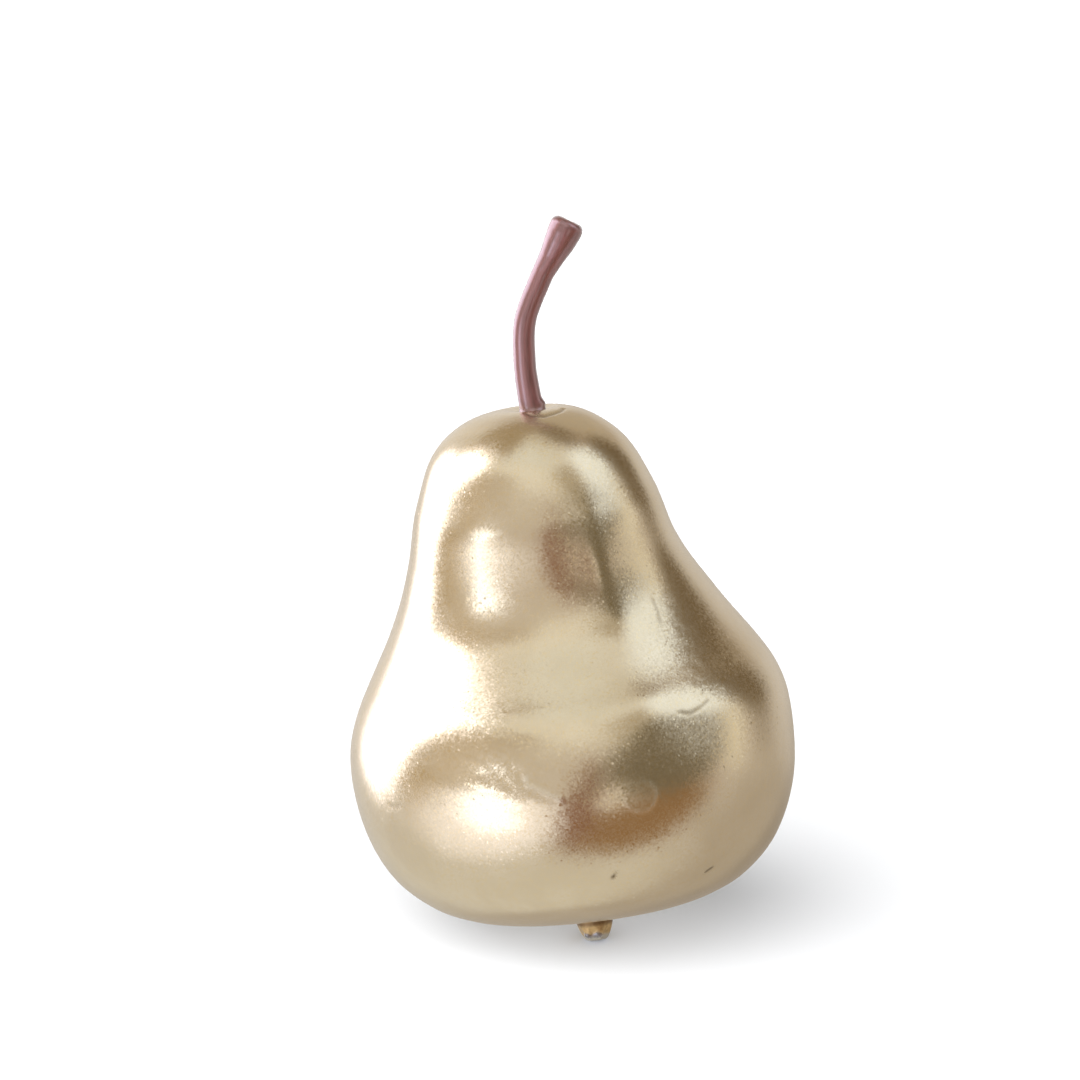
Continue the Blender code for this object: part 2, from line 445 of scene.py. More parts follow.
def new_material(name: str) -> tuple[bpy.types.Material, NodeKit, bpy.types.Node]:
    """Starts a material with a Principled shader joined to its output.

    Args:
        name: Name of the material.

    Returns:
        The material, its node kit and the shader node.
    """
    material = bpy.data.materials.new(name)
    material.use_nodes = True
    kit = NodeKit(material.node_tree)
    shader = kit.add("ShaderNodeBsdfPrincipled")
    output = kit.add("ShaderNodeOutputMaterial")
    kit.plug(output.inputs["Surface"], shader.outputs[0])
    return material, kit, shader


@dataclass(frozen=True)
class GoldPaint:
    """Champagne-gold metallic paint: satin, of fine flakes that each tilt a little their own way."""

    color: tuple[float, float, float] = (0.715, 0.60, 0.43)
    deep_color: tuple[float, float, float] = (0.68, 0.565, 0.395)
    yellow_flake: tuple[float, float, float] = (0.72, 0.575, 0.36)
    pale_mark: tuple[float, float, float] = (0.90, 0.84, 0.72)
    dark_mark: tuple[float, float, float] = (0.16, 0.11, 0.06)
    cloud_per_mm: float = 0.11
    cloud_detail: float = 4.0
    roughness: float = 0.23
    roughness_spread: float = 0.04
    dark_mark_roughness: float = 0.3
    flakes_per_mm: float = 3.1
    flake_tilt: float = 0.046
    crinkled_tilt: float = 0.09
    yellow_from: float = 0.70
    yellow_share: float = 0.8
    sparkle_from: float = 0.94
    sparkle_tilt: float = 0.12

    def make(self) -> bpy.types.Material:
        """Makes the paint.

        Each flake is a cell with a random colour, read as its tilt, tint and gloss. A few tilt much more
        than the rest and sparkle. Crinkled patches tilt all their flakes more. Painted light lies on top:
        a painted highlight, paler than the paint, on ridges and the ring, and painted shade, darker and
        rougher, in creases and pits.
        """
        material, kit, shader = new_material("champagne gold paint")
        place = kit.millimetres()
        cells = kit.add("ShaderNodeTexVoronoi", feature="F1")
        kit.feed(cells, {"Vector": place, "Scale": self.flakes_per_mm})
        flake = cells.outputs["Color"]
        parts = kit.add("ShaderNodeSeparateXYZ")
        kit.plug(parts.inputs[0], flake)
        cloud = kit.ease(kit.noise(place, self.cloud_per_mm, self.cloud_detail), *NOISE_SPAN, 0.0, 1.0)
        paint = kit.mix(cloud, (*self.deep_color, 1.0), (*self.color, 1.0))
        yellow = kit.ramp(parts.outputs[0], self.yellow_from, 1.0, 0.0, self.yellow_share)
        paint = kit.mix(yellow, paint, (*self.yellow_flake, 1.0))
        # Painted light: a painted highlight on ridges and the ring, painted shade in creases and pits.
        mark = kit.shade("mark")
        paint = kit.mix(kit.ramp(mark, 0.0, 1.0, 0.0, 1.0), paint, (*self.pale_mark, 1.0))
        paint = kit.mix(kit.ramp(mark, 0.0, -1.0, 0.0, 1.0), paint, (*self.dark_mark, 1.0))
        smooth = self.roughness - self.roughness_spread
        rough = self.roughness + self.roughness_spread
        gloss = kit.ramp(parts.outputs[1], 0.0, 1.0, smooth, rough)
        # The painted shade in creases and pits is rougher too.
        rough_in_painted_shade = kit.ramp(mark, 0.0, -1.0, 0.0, self.dark_mark_roughness)
        crinkle = kit.ramp(kit.shade("crinkle"), 0.0, 1.0, self.flake_tilt, self.crinkled_tilt)
        sparkle = kit.ramp(parts.outputs[2], self.sparkle_from, 1.0, 0.0, self.sparkle_tilt)
        centred = kit.vector("SUBTRACT", flake, (0.5, 0.5, 0.5)).outputs[0]
        tilt = kit.vector("SCALE", centred, scale=kit.math("ADD", crinkle, sparkle)).outputs[0]
        facing = kit.vector("ADD", kit.add("ShaderNodeNewGeometry").outputs["Normal"], tilt).outputs[0]
        kit.plug(shader.inputs["Base Color"], paint)
        kit.plug(shader.inputs["Roughness"], kit.math("ADD", gloss, rough_in_painted_shade))
        kit.plug(shader.inputs["Normal"], kit.vector("NORMALIZE", facing).outputs[0])
        kit.plug(shader.inputs["Metallic"], 1.0)
        return material


@dataclass(frozen=True)
class StemGloss:
    """Pearly rose-brown gloss of the stem, streaked along its length."""

    color: tuple[float, float, float] = (0.23, 0.065, 0.065)
    dark_color: tuple[float, float, float] = (0.17, 0.045, 0.045)
    foot_color: tuple[float, float, float] = (0.22, 0.12, 0.08)
    streaks_per_mm: float = 3.2
    streak_detail: float = 3.0
    streak_stretch: float = 0.05
    foot_from: float = 8.5
    foot_to: float = 12.0
    foot_share: float = 0.7
    roughness: float = 0.4
    roughness_spread: float = 0.05
    bump_strength: float = 0.25
    bump_depth: float = 0.012
    pearl: float = 0.7
    coat_roughness: float = 0.26
    coat_ior: float = 2.1
    sheen_roughness: float = 0.3

    def make(self) -> bpy.types.Material:
        """Makes the gloss: streaks are a noise read along the stem, and its foot is browner."""
        material, kit, shader = new_material("rose brown gloss")
        around = kit.add("ShaderNodeCombineXYZ")
        kit.plug(around.inputs[0], kit.shade("side"))
        kit.plug(around.inputs[1], kit.shade("front"))
        kit.plug(around.inputs[2], kit.math("MULTIPLY", kit.shade("along"), self.streak_stretch))
        streak = kit.noise(around.outputs[0], self.streaks_per_mm, self.streak_detail)
        streak = kit.ease(streak, *NOISE_SPAN, 0.0, 1.0)
        paint = kit.mix(streak, (*self.dark_color, 1.0), (*self.color, 1.0))
        foot = kit.ease(kit.shade("along"), self.foot_from, self.foot_to, self.foot_share, 0.0)
        smooth = self.roughness - self.roughness_spread
        rough = self.roughness + self.roughness_spread
        inputs = {
            "Base Color": kit.mix(foot, paint, (*self.foot_color, 1.0)),
            "Roughness": kit.ramp(streak, 0.0, 1.0, smooth, rough),
            "Normal": kit.bump(streak, self.bump_strength, self.bump_depth),
            "Metallic": self.pearl,
            "Coat Weight": 1.0,
            "Coat Roughness": self.coat_roughness,
            "Coat IOR": self.coat_ior,
            "Sheen Weight": 1.0,
            "Sheen Roughness": self.sheen_roughness,
        }
        kit.feed(shader, inputs)
        return material


@dataclass(frozen=True)
class CalyxPaint:
    """Brown-gold paint of the calyx: browner where it meets the body, dark and glossy on its beads."""

    color: tuple[float, float, float] = (0.53, 0.36, 0.165)
    brown: tuple[float, float, float] = (0.19, 0.115, 0.052)
    dark: tuple[float, float, float] = (0.085, 0.06, 0.055)
    grey: tuple[float, float, float] = (0.42, 0.38, 0.32)
    grains_per_mm: float = 1.8
    grain_detail: float = 3.0
    brown_share: float = 0.45
    neck_unevenness: float = 0.3
    roughness: float = 0.38
    bead_roughness: float = 0.16
    metal: float = 0.8
    coat_roughness: float = 0.08
    coat_ior: float = 1.9
    bump_depth: float = 0.05

    def make(self) -> bpy.types.Material:
        """Makes the paint: its shades come from the piece's attributes, broken up by a fine grain."""
        material, kit, shader = new_material("calyx brown gold")
        grain = kit.noise(kit.millimetres(), self.grains_per_mm, self.grain_detail)
        patch = kit.ease(grain, *NOISE_SPAN, 0.0, self.brown_share)
        paint = kit.mix(patch, (*self.color, 1.0), (*self.brown, 1.0))
        uneven = kit.math("MULTIPLY", kit.math("SUBTRACT", grain, 0.5), self.neck_unevenness)
        neck = kit.math("ADD", kit.shade("neck"), uneven)
        paint = kit.mix(kit.ramp(neck, 0.0, 1.0, 0.0, 1.0), paint, (*self.brown, 1.0))
        paint = kit.mix(kit.ramp(kit.shade("tip"), 0.0, 1.0, 0.0, 1.0), paint, (*self.grey, 1.0))
        bead = kit.shade("bead")
        inputs = {
            "Base Color": kit.mix(bead, paint, (*self.dark, 1.0)),
            "Roughness": kit.ramp(bead, 0.0, 1.0, self.roughness, self.bead_roughness),
            "Normal": kit.bump(grain, 1.0, self.bump_depth),
            "Metallic": kit.ramp(bead, 0.0, 1.0, self.metal, 0.0),
            "Coat Weight": bead,
            "Coat Roughness": self.coat_roughness,
            "Coat IOR": self.coat_ior,
        }
        kit.feed(shader, inputs)
        return material


@dataclass(frozen=True)
class FloorPaper:
    """White matt paper of the floor."""

    white: float = 0.9

    def make(self) -> bpy.types.Material:
        """Makes the paper."""
        material, kit, shader = new_material("white paper")
        white = (self.white, self.white, self.white, 1.0)
        kit.feed(shader, {"Base Color": white, "Roughness": 1.0, "Specular IOR Level": 0.0})
        return material


@dataclass
class PearBody:
    """Body of the pear with its two sockets. Lengths are in millimetres."""

    stance: Stance
    outline: tuple[tuple[float, float], ...] = (
        (4.0, 0.1),
        (11.0, 0.4),
        (17.5, 1.2),
        (23.4, 2.7),
        (29.8, 5.7),
        (36.6, 12.2),
        (41.4, 22.8),
        (42.2, 33.8),
        (39.5, 46.3),
        (32.0, 59.3),
        (25.3, 73.0),
        (22.6, 84.3),
        (18.6, 93.2),
        (11.8, 99.1),
        (5.8, 100.9),
        (2.6, 100.4),
    )
    lumps: tuple[Swell, ...] = (
        Swell(-90.0, 37.0, 30.0, 8.0, 0.6),
        Swell(-90.0, 49.0, 30.0, 5.0, -0.5),
        Swell(-85.0, 74.0, 20.0, 8.0, 0.2),
        Swell(-80.0, 95.0, 10.0, 4.0, 0.3),
        Swell(90.0, 9.0, 30.0, 7.0, 0.15),
        Swell(90.0, 32.0, 30.0, 6.0, -0.3),
        Swell(90.0, 43.0, 30.0, 4.0, 0.3),
        Swell(90.0, 73.0, 20.0, 12.0, -0.2),
        Swell(90.0, 66.0, 16.0, 6.0, -0.6),
        Swell(-90.0, 62.0, 16.0, 5.0, -0.4),
        Swell(0.0, 58.0, 20.0, 5.0, 1.6),
        Swell(-12.0, 77.0, 9.0, 11.0, -0.9),
    )
    dents: tuple[Swell, ...] = (
        Swell(27.0, 76.0, 3.2, 6.5, 0.65),
        Swell(25.5, 76.0, 1.5, 5.0, 0.28),
        Swell(-40.0, 50.0, 4.5, 8.0, 0.6),
        Swell(-64.0, 66.0, 6.0, 9.0, 0.3),
        Swell(21.0, 46.0, 3.5, 5.0, 0.3),
        Swell(-26.0, 68.0, 6.0, 4.0, -0.3),
        Swell(-38.0, 24.0, 6.0, 4.0, -0.2),
        Swell(-19.0, 28.8, 9.0, 1.8, 0.3, 16.0),
        Swell(15.9, 25.2, 2.0, 2.0, -0.05),
        Swell(-32.0, 83.5, 7.0, 2.6, 0.32),
        Swell(33.0, 37.0, 6.0, 5.0, -0.4),
        Swell(90.0, 72.0, 14.0, 12.0, 1.0),
        Swell(92.0, 39.0, 18.0, 9.0, 0.95),
        Swell(-95.0, 40.0, 20.0, 9.0, 0.5),
        Swell(-90.0, 16.0, 20.0, 6.0, 0.4),
        Swell(-95.0, 74.0, 14.0, 5.0, 0.4),
        Swell(-92.0, 90.0, 10.0, 4.0, -0.1),
        Swell(-97.0, 97.0, 8.0, 3.5, 0.5),
        Swell(-96.0, 64.0, 14.0, 8.0, 0.3),
    )
    # Each stroke's last number is painted light: below nothing, painted shade in its groove or pit; above
    # nothing, a painted highlight on its ridge.
    strokes: tuple[Stroke, ...] = (
        Stroke(
            ((30.2, 40.9, 42.0), (33.0, 41.1, 41.0), (36.5, 40.9, 41.9), (40.3, 40.5, 43.5)),
            0.30,
            -0.06,
            -0.35,
        ),
        Stroke(((44.4, 27.4, 68.2), (43.8, 28.3, 66.2), (42.0, 29.4, 64.2)), 0.28, -0.04, -0.25),
        Stroke(((-12.9, 42.2, 31.8), (-12.7, 42.3, 30.3), (-4.5, 42.1, 26.5)), 0.35, 0.09, 0.45),
        Stroke(((-57.0, 42.2, 28.2), (-55.2, 42.2, 27.7), (-52.5, 42.2, 28.1)), 0.30, -0.05, -0.25),
        Stroke(((7.3, 35.1, 10.2), (7.5, 35.2, 10.5)), 0.27, -0.15, -1.0),
        Stroke(((7.9, 35.6, 11.1), (8.3, 35.7, 11.3)), 0.25, 0.04, -0.35),
        Stroke(((41.4, 33.3, 8.4), (43.2, 33.9, 9.1)), 0.24, -0.12, -0.9),
        Stroke(
            (
                (-6.5, 6.3, 100.8),
                (4.3, 8.0, 100.5),
                (19.0, 9.2, 100.2),
                (33.0, 8.8, 100.3),
                (47.5, 8.4, 100.4),
                (60.0, 7.6, 100.6),
            ),
            0.35,
            -0.22,
            -0.4,
        ),
    )
    ring_mark: tuple[float, float] = (15.9, 25.2)
    ring_radius: float = 3.2
    ring_width: float = 0.26
    ring_rise: float = 0.05
    # Paleness of the ring's painted highlight.
    ring_highlight: float = 0.7
    # The ring and its painted highlight grow stronger this way, to the right and down.
    ring_strong_way: tuple[float, float] = (0.8, -0.6)
    ring_fade: float = 4.8
    ring_middle_share: float = 0.75
    crinkle: Crinkle = Crinkle(
        (
            Swell(-17.0, 40.0, 7.0, 8.0, 1.0),
            Swell(-14.0, 30.5, 6.0, 2.5, 0.8),
            Swell(46.0, 50.0, 5.0, 6.0, 0.5),
            Swell(52.0, 59.0, 4.0, 5.0, 0.4),
        )
    )
    rows: int = 320
    columns: int = 300
    front: float = 65.0
    front_density: float = 7.0
    sag: float = 1.6
    sag_height: float = 86.3
    sag_spread: float = 16.0
    crown_radius: float = 12.0
    stem_floor: float = 90.4
    stem_socket_rings: int = 5
    calyx_floor: float = 2.8
    calyx_hole: float = 3.75
    calyx_lip: float = 0.2

    def turn(self) -> np.ndarray:
        """Turns of the columns, closer together at the front, where the fine marks are."""
        return dense_turns(self.columns, self.front, self.front_density)

    def centre_line(self, radius: np.ndarray, height: np.ndarray) -> np.ndarray:
        """X of each ring's centre: a bell-shaped sag of the neck, which fades out across the crown."""
        sag = -self.sag * np.exp(-0.5 * ((height - self.sag_height) / self.sag_spread) ** 2)
        rim = self.outline[-1][0]
        to_stem = smooth_step((self.crown_radius - radius) / (self.crown_radius - rim))
        return sag * (1.0 - np.where(height > self.sag_height, to_stem, 0.0))

    def ring_at(self, radius: float, height: float) -> np.ndarray:
        """Level ring of the columns round the pear's axis."""
        turn = self.turn()
        return np.stack([radius * np.sin(turn), -radius * np.cos(turn), np.full_like(turn, height)], axis=-1)

    def ring_cover(self, turn: np.ndarray, radius: np.ndarray, height: np.ndarray) -> np.ndarray:
        """Cover of the round mark: a bell curve of the distance to its circle, fading out at top left.

        Args:
            turn: Turns in radians.
            radius: Radii of the skin.
            height: Heights of the skin.

        Returns:
            Share from 0 to 1 for each point, for the ring's rise and for its painted highlight.
        """
        middle_turn, middle_height = self.ring_mark
        side = radius * (turn - math.radians(middle_turn))
        up = height - middle_height
        away = np.hypot(side, up)
        line = np.exp(-0.5 * ((away - self.ring_radius) / self.ring_width) ** 2)
        strong_side, strong_up = self.ring_strong_way
        strength = self.ring_middle_share + (strong_side * side + strong_up * up) / self.ring_fade
        return line * smooth_step(strength)

    def skin(self) -> tuple[np.ndarray, np.ndarray, np.ndarray]:
        """Skin between the sockets: the outline swept round, moved along its own normal.

        The move is the sum of the lumps, the dents, the strokes, the round mark and the crinkling.

        Returns:
            Rings of the skin in the pear's frame, their painted light from -1, painted shade, to 1, painted
            highlight, and their share of crinkling.
        """
        outline = spline(self.outline, self.rows)
        turn, radius = np.meshgrid(self.turn(), outline[:, 0])
        height = np.repeat(outline[:, 1][:, None], self.columns, axis=1)
        along = np.gradient(outline, axis=0)
        along /= np.linalg.norm(along, axis=1)[:, None]
        spots = np.stack([radius * np.sin(turn), -radius * np.cos(turn), height], axis=-1)
        rise = sum(swell.rise_at(turn, radius, height) for swell in self.lumps + self.dents)
        crinkled = sum(patch.rise_at(turn, radius, height) for patch in self.crinkle.patches)
        rise = rise + crinkled * self.crinkle.rise_at(spots)
        # Painted light on the skin: painted shade in grooves and pits, painted highlight on ridges and the
        # ring.
        mark = np.zeros_like(rise)
        for stroke in self.strokes:
            cover = stroke.cover(spots)
            rise = rise + stroke.rise * cover
            mark = mark + stroke.shade * cover
        ring = self.ring_cover(turn, radius, height)
        rise = rise + self.ring_rise * ring
        # The ring's painted highlight.
        mark = mark + self.ring_highlight * ring
        centre = self.centre_line(radius, height)
        radius = radius + rise * along[:, 1][:, None]
        height = height - rise * along[:, 0][:, None]
        rings = np.stack([centre + radius * np.sin(turn), -radius * np.cos(turn), height], axis=-1)
        return rings, mark, crinkled

    def build(self) -> bpy.types.Object:
        """Builds the skin with its sockets, which stands in for the plain body."""
        rings, mark, crinkled = self.skin()
        rim_radius, rim_height = self.outline[-1]
        lip_height = self.outline[0][1] + self.calyx_lip
        low = [self.ring_at(self.calyx_hole, level) for level in (self.calyx_floor, lip_height)]
        levels = np.linspace(rim_height, self.stem_floor, self.stem_socket_rings)[1:]
        high = [self.ring_at(rim_radius, level) for level in levels]
        rings = np.concatenate([np.array(low), rings, np.array(high)])
        mark, crinkled = (np.pad(value, ((len(low), len(high)), (0, 0))) for value in (mark, crinkled))
        piece = Skin.closed("pear_skin", self.stance.stand(rings), mark=mark, crinkle=crinkled)
        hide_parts("pear_body")
        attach(piece, "root")
        return piece

    def dress(self, piece: bpy.types.Object) -> None:
        """Paints the skin gold."""
        piece.data.materials.append(GoldPaint().make())


@dataclass
class Stem:
    """Curved stem set into the crown. Lengths are in millimetres."""

    stance: Stance
    line: tuple[tuple[float, float], ...] = (
        (0.0, 90.7),
        (0.0, 96.4),
        (0.0, 100.4),
        (-0.2, 104.6),
        (-0.3, 108.2),
        (-0.1, 111.7),
        (0.25, 115.2),
        (0.95, 118.2),
        (2.25, 121.1),
        (3.7, 123.7),
        (5.4, 126.6),
        (7.4, 129.4),
        (9.3, 132.2),
        (10.75, 134.5),
    )
    girth: tuple[tuple[float, float], ...] = (
        (0.00, 2.30),
        (0.20, 2.30),
        (0.25, 2.25),
        (0.34, 2.15),
        (0.60, 2.10),
        (0.78, 2.15),
        (0.85, 2.45),
        (0.92, 3.00),
        (0.97, 3.25),
        (1.00, 3.25),
    )
    rows: int = 180
    columns: int = 96
    end_round: float = 1.5
    end_sweep: float = 84.0
    end_rows: int = 12
    burr_height: float = 101.6
    burr_rise: float = 0.5
    burr_spread: float = 0.6
    burr_turn_spread: float = 0.6
    foot_height: float = 100.4
    foot_rise: float = 0.35
    foot_spread: float = 0.35

    def rings(self) -> tuple[np.ndarray, np.ndarray, np.ndarray]:
        """Rings square to the centre line, with a rounded far end, a burr at the right and a foot ring.

        Returns:
            Rings in the pear's frame, the turn of each point and its distance along the stem.
        """
        line = spline(self.line, self.rows)
        share = np.linspace(0.0, 1.0, self.rows)
        radius = np.interp(share, *np.array(self.girth).T)
        along = np.gradient(line, axis=0)
        along /= np.linalg.norm(along, axis=1)[:, None]
        ease = np.radians(np.linspace(0.0, self.end_sweep, self.end_rows))[1:]
        line = np.vstack([line, line[-1] + along[-1] * (self.end_round * np.sin(ease))[:, None]])
        radius = np.concatenate([radius, radius[-1] - self.end_round * (1.0 - np.cos(ease))])
        along = np.vstack([along, np.repeat(along[-1:], len(ease), axis=0)])
        distance = np.concatenate([[0.0], np.cumsum(np.linalg.norm(np.diff(line, axis=0), axis=1))])
        turn, distance = np.meshgrid(turns(self.columns), distance)
        level = line[:, 1][:, None]
        foot = self.foot_rise * np.exp(-0.5 * ((level - self.foot_height) / self.foot_spread) ** 2)
        across = (radius[:, None] + foot) * np.sin(turn)
        toward = (radius[:, None] + foot) * np.cos(turn)
        round_burr = (turn - 0.5 * math.pi) / self.burr_turn_spread
        above_burr = (level - self.burr_height) / self.burr_spread
        burr = np.exp(-0.5 * (round_burr**2 + above_burr**2))
        across = across + self.burr_rise * burr
        x = line[:, 0][:, None] + across * along[:, 1][:, None]
        z = level - across * along[:, 0][:, None]
        return np.stack([x, -toward, z], axis=-1), turn, distance

    def build(self) -> bpy.types.Object:
        """Builds the stem, which stands in for the plain one."""
        rings, turn, distance = self.rings()
        shades = {"side": np.sin(turn), "front": np.cos(turn), "along": distance}
        piece = Skin.closed("fine_stem", self.stance.stand(rings), **shades)
        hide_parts("stem")
        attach(piece, "root")
        return piece

    def dress(self, piece: bpy.types.Object) -> None:
        """Gives the stem its gloss."""
        piece.data.materials.append(StemGloss().make())


@dataclass
class Calyx:
    """Short stub under the body, lobed at its tip, with two dark beads. Lengths are in millimetres."""

    stance: Stance
    outline: tuple[tuple[float, float], ...] = (
        (0.30, -2.6),
        (0.75, -3.3),
        (1.20, -3.9),
        (1.60, -4.02),
        (2.00, -3.75),
        (2.40, -3.15),
        (2.80, -2.35),
        (3.20, -1.5),
        (3.50, -0.6),
        (3.62, 0.1),
        (3.62, 1.2),
        (3.45, 2.5),
    )
    rows: int = 70
    columns: int = 120
    hollow_fade: tuple[float, float] = (-2.0, 5.0)
    lobes: int = 6
    lobe_turn: float = 20.0
    lobe_rise: float = 0.07
    lobe_height: float = -0.3
    lobe_fade: float = 3.0
    neck_height: float = -1.5
    neck_fade: float = 0.9
    tip_height: float = -2.5
    tip_fade: float = 0.8
    bead_turns: tuple[float, ...] = (-44.0, 5.0)
    bead_height: float = -3.05
    bead_wide: float = 0.6
    bead_high: float = 0.42
    bead_rise: float = 0.36
    bead_shade: float = 1.6

    def build(self) -> bpy.types.Object:
        """Builds the calyx, which stands in for the plain one.

        The outline is swept round. Its radius swells and shrinks as a cosine of the turn towards the tip,
        and each bead is a bell-shaped swell, kept out of the hollow in the middle of the tip.
        """
        outline = spline(self.outline, self.rows)
        turn, radius = np.meshgrid(turns(self.columns), outline[:, 0])
        height = np.repeat(outline[:, 1][:, None], self.columns, axis=1)
        outside = smooth_step(np.linspace(*self.hollow_fade, self.rows))[:, None]
        depth = smooth_step((self.lobe_height - height) / self.lobe_fade)
        lobes = np.cos(self.lobes * (turn - math.radians(self.lobe_turn)))
        beads = [Swell(at, self.bead_height, self.bead_wide, self.bead_high, 1.0) for at in self.bead_turns]
        bead = outside * sum(swell.rise_at(turn, radius, height) for swell in beads)
        wide = radius * (1.0 + self.lobe_rise * depth * lobes) + self.bead_rise * bead
        rings = np.stack([wide * np.sin(turn), -wide * np.cos(turn), height], axis=-1)
        neck = outside * smooth_step((height - self.neck_height) / self.neck_fade)
        tip = depth * smooth_step((self.tip_height - height) / self.tip_fade)
        shades = {"bead": smooth_step(self.bead_shade * bead), "neck": neck, "tip": tip}
        piece = Skin.closed("fine_calyx", self.stance.stand(rings), **shades)
        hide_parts("calyx")
        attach(piece, "root")
        return piece

    def dress(self, piece: bpy.types.Object) -> None:
        """Paints the calyx."""
        piece.data.materials.append(CalyxPaint().make())


@dataclass(frozen=True)
class Card:
    """Soft-edged card or window round the pear, as the pear sees it. Angles are in degrees.

    Azimuth 0 is towards the viewer and positive to the viewer's right. Wide and high are half sizes, and
    softness is how much of the size its edge takes to fade. Depth is how far the card reaches towards the
    pear and away from it, in radii of the sphere of directions.
    """

    azimuth: float
    elevation: float
    slant: float
    wide: float
    high: float
    softness: float
    color: tuple[float, float, float]
    depth: float = 1.2

    def middle(self) -> Vector:
        """Direction of the card's middle."""
        azimuth = math.radians(self.azimuth)
        elevation = math.radians(self.elevation)
        flat = math.cos(elevation)
        return Vector((math.sin(azimuth) * flat, -math.cos(azimuth) * flat, math.sin(elevation)))

    def turned(self) -> Matrix:
        """Rotation whose columns are the card's width, its height and its middle."""
        azimuth = math.radians(self.azimuth)
        slant = math.radians(self.slant)
        middle = self.middle()
        right = Vector((math.cos(azimuth), math.sin(azimuth), 0.0))
        up = right.cross(middle)
        up = up if up.z > 0 else -up
        across = right * math.cos(slant) + up * math.sin(slant)
        lift = up * math.cos(slant) - right * math.sin(slant)
        turned = Matrix((across, lift, middle)).transposed()
        return turned if turned.determinant() > 0 else Matrix((-across, lift, middle)).transposed()

    def cover(self, kit: NodeKit, direction: bpy.types.NodeSocket) -> bpy.types.NodeSocket:
        """Share of the card seen in a direction: a smooth fade past the edge of an ellipse.

        Args:
            kit: Kit of the world's nodes.
            direction: Output that gives the direction.

        Returns:
            Output from 0, beside the card, to 1, on it.
        """
        size = (math.sin(math.radians(self.wide)), math.sin(math.radians(self.high)), self.depth)
        place = kit.add("ShaderNodeMapping", vector_type="TEXTURE")
        kit.feed(place, {"Vector": direction, "Location": self.middle(), "Scale": size})
        kit.plug(place.inputs["Rotation"], self.turned().to_euler())
        away = kit.vector("LENGTH", place.outputs[0]).outputs["Value"]
        return kit.ease(away, 1.0 + self.softness, 1.0 - self.softness, 0.0, 1.0)


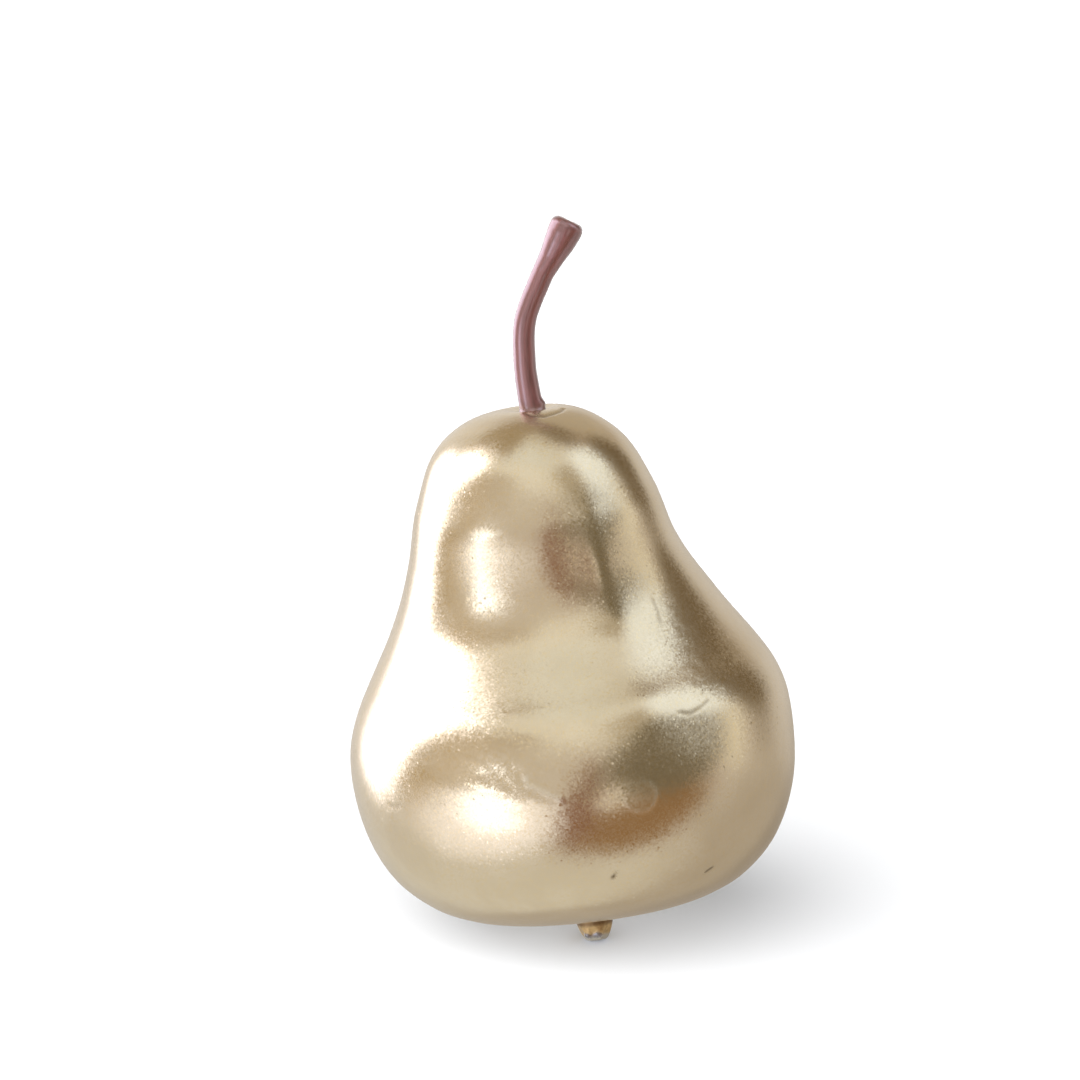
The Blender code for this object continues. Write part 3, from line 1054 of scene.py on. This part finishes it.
@dataclass
class Studio:
    """White floor, soft surroundings and the camera."""

    stance: Stance
    sky: tuple[tuple[float, tuple[float, float, float]], ...] = (
        (-90.0, (0.82, 0.82, 0.78)),
        (-45.0, (0.80, 0.80, 0.77)),
        (-20.0, (0.76, 0.75, 0.74)),
        (0.0, (0.74, 0.70, 0.66)),
        (30.0, (0.78, 0.75, 0.70)),
        (60.0, (0.86, 0.84, 0.78)),
        (90.0, (0.84, 0.84, 0.78)),
    )
    cards: tuple[Card, ...] = (
        Card(-165, 22, 0, 20, 34, 0.3, (0.92, 0.90, 0.88)),
        Card(-155, 58, 0, 45, 14, 0.35, (0.52, 0.44, 0.32)),
        Card(150, 48, 0, 34, 30, 0.4, (0.44, 0.36, 0.28)),
        Card(160, 38, 0, 22, 20, 0.4, (0.62, 0.56, 0.47)),
        Card(-5, 50, 0, 58, 20, 0.4, (1.02, 1.03, 1.0)),
        Card(-40, 74, 0, 30, 14, 0.5, (0.96, 1.00, 1.00)),
        Card(-45, 32, 0, 18, 12, 0.5, (0.68, 0.62, 0.53)),
        Card(130, -38, 0, 58, 32, 0.4, (0.56, 0.52, 0.47)),
        Card(150, -52, 0, 34, 20, 0.4, (0.54, 0.50, 0.44)),
        Card(160, -34, 0, 18, 14, 0.5, (0.40, 0.36, 0.31)),
        Card(146, -2, 0, 15, 14, 0.5, (0.76, 0.74, 0.72)),
        Card(-120, 3, -8, 23, 24, 0.15, (2.9, 2.95, 3.4)),
        Card(-82, -13, -25, 14, 15, 0.4, (0.60, 0.50, 0.34)),
        Card(-66, 17, 0, 14, 21, 0.5, (0.70, 0.62, 0.50)),
        Card(-100, 30, -30, 18, 25, 0.18, (2.9, 2.95, 3.4)),
        Card(-114, 68, 0, 17, 9, 0.4, (0.44, 0.35, 0.22)),
        Card(-45, -26, 8, 40, 17, 0.35, (1.3, 1.32, 1.45)),
        Card(-45, -20, 0, 17, 8, 0.4, (2.4, 2.5, 2.9)),
        Card(-45, 2, 0, 11, 6, 0.35, (2.5, 2.7, 3.2)),
        Card(-47, -5, -35, 4, 8, 0.4, (2.5, 2.7, 3.2)),
        Card(40, 41, 0, 14, 15, 0.5, (0.56, 0.51, 0.41)),
        Card(37, -22, 28, 41, 16, 0.3, (0.34, 0.205, 0.10)),
        Card(4, -10, -12, 8, 30, 0.3, (0.29, 0.145, 0.09)),
        Card(92, 12, 0, 9, 13, 0.5, (1.0, 0.98, 0.88)),
        Card(48, 14, 11, 37, 18, 0.22, (0.22, 0.19, 0.135)),
        Card(20, -3, 0, 7, 8, 0.5, (0.98, 0.94, 0.88)),
        Card(84, 43, 0, 19, 23, 0.4, (1.22, 1.36, 1.52)),
        Card(142, 68, 0, 15, 10, 0.4, (0.28, 0.22, 0.15)),
        Card(120, 24, 0, 16, 26, 0.35, (0.20, 0.15, 0.09)),
    )
    fill_from: tuple[float, float, float] = (-0.50, -0.76, 0.42)
    fill_dim: tuple[float, float, float] = (0.10, 0.102, 0.105)
    fill_bright: tuple[float, float, float] = (3.7, 3.72, 3.76)
    bounce: tuple[float, float, float] = (0.95, 1.12, 1.55)
    elevation: float = 17.0
    distance: float = 1100.0
    aim_right: float = -10.5
    aim_up: float = 73.2
    frame_width: float = 208.66
    sensor: float = 36.0
    floor_radii: tuple[float, float] = (0.05, 4.0)
    floor_rows: int = 12
    floor_columns: int = 96
    floor_level: float = -0.00002

    def build_floor(self) -> bpy.types.Object:
        """Lays a wide round floor: rings of points whose radii grow evenly from the middle."""
        radii = np.linspace(*self.floor_radii, self.floor_rows)
        turn, radius = np.meshgrid(turns(self.floor_columns), radii)
        level = np.full_like(radius, self.floor_level)
        points = np.stack([radius * np.cos(turn), radius * np.sin(turn), level], axis=-1)
        mesh = bpy.data.meshes.new("floor")
        rows, columns = radius.shape
        corner = np.arange(rows * columns).reshape(rows, columns)
        after = np.roll(corner, -1, axis=1)
        quads = np.stack([corner[:-1], corner[1:], after[1:], after[:-1]], axis=-1).reshape(-1, 4)
        mesh.from_pydata(points.reshape(-1, 3).tolist(), [], quads.tolist() + [corner[0].tolist()])
        mesh.update()
        floor = bpy.data.objects.new("floor", mesh)
        bpy.context.scene.collection.objects.link(floor)
        floor.data.materials.append(FloorPaper().make())
        floor.visible_glossy = False
        return floor

    def build_surroundings(self) -> None:
        """Paints the world for each kind of ray.

        Glossy rays see colours by elevation with each card laid over in turn. Diffuse rays see a plain fill
        that is brighter at the front left, and what the gold throws on the floor is a plain bluish white,
        which leaves the shadow grey. The camera sees white.
        """
        world = bpy.data.worlds.new("studio")
        bpy.context.scene.world = world
        world.use_nodes = True
        world.cycles.sampling_method = "NONE"
        kit = NodeKit(world.node_tree)
        direction = kit.add("ShaderNodeTexCoord").outputs["Generated"]
        parts = kit.add("ShaderNodeSeparateXYZ")
        kit.plug(parts.inputs[0], direction)
        bands = kit.add("ShaderNodeValToRGB")
        kit.plug(bands.inputs[0], kit.ramp(parts.outputs[2], -1.0, 1.0, 0.0, 1.0))
        for number, (elevation, color) in enumerate(self.sky):
            place = 0.5 + 0.5 * math.sin(math.radians(elevation))
            stops = bands.color_ramp.elements
            stop = stops[number] if number < 2 else stops.new(place)
            stop.position = place
            stop.color = (*color, 1.0)
        seen = bands.outputs[0]
        for card in self.cards:
            seen = kit.mix(card.cover(kit, direction), seen, (*card.color, 1.0))
        toward = kit.vector("DOT_PRODUCT", direction, self.fill_from).outputs["Value"]
        to_key = kit.ramp(toward, 0.0, 1.0, 0.0, 1.0)
        fill = kit.mix(to_key, (*self.fill_dim, 1.0), (*self.fill_bright, 1.0))
        ray = kit.add("ShaderNodeLightPath")
        from_floor = kit.math("MINIMUM", ray.outputs["Diffuse Depth"], 1.0)
        seen = kit.mix(from_floor, seen, (*self.bounce, 1.0))
        seen = kit.mix(ray.outputs["Is Diffuse Ray"], seen, fill)
        seen = kit.mix(ray.outputs["Is Camera Ray"], seen, (1.0, 1.0, 1.0, 1.0))
        light = kit.add("ShaderNodeBackground")
        kit.plug(light.inputs["Color"], seen)
        output = kit.add("ShaderNodeOutputWorld")
        kit.plug(output.inputs["Surface"], light.outputs[0])

    def build_camera(self) -> bpy.types.Object:
        """Sets the camera: straight ahead of the pear and raised, aimed beside its middle."""
        rise = math.radians(self.elevation)
        up = np.array([0.0, math.sin(rise), math.cos(rise)])
        back = np.array([0.0, -math.cos(rise), math.sin(rise)])
        aim = np.array(self.stance.place) + np.array([self.aim_right, 0.0, 0.0]) + self.aim_up * up
        data = bpy.data.cameras.new("camera")
        data.sensor_width = self.sensor
        data.lens = self.sensor * self.distance / self.frame_width
        data.clip_start = 0.01
        data.clip_end = 50.0
        camera = bpy.data.objects.new("camera", data)
        bpy.context.scene.collection.objects.link(camera)
        camera.location = Vector((aim + self.distance * back) * MILLIMETRE)
        camera.rotation_euler = (0.5 * math.pi - rise, 0.0, 0.0)
        bpy.context.scene.camera = camera
        return camera

    def build(self) -> None:
        """Lays the floor, paints the surroundings and sets the camera."""
        self.build_floor()
        self.build_surroundings()
        self.build_camera()
        bpy.context.scene.view_settings.view_transform = "Standard"


def main() -> None:
    """Builds and dresses the pieces in order, then the studio round them."""
    logging.basicConfig(level=logging.INFO, format="%(name)s: %(message)s")
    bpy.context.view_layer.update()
    stance = Stance()
    for part in (PearBody(stance), Stem(stance), Calyx(stance)):
        piece = part.build()
        part.dress(piece)
        LOG.info("%s has %d faces", piece.name, len(piece.data.polygons))
    Studio(stance).build()


if __name__ == "__main__":
    main()
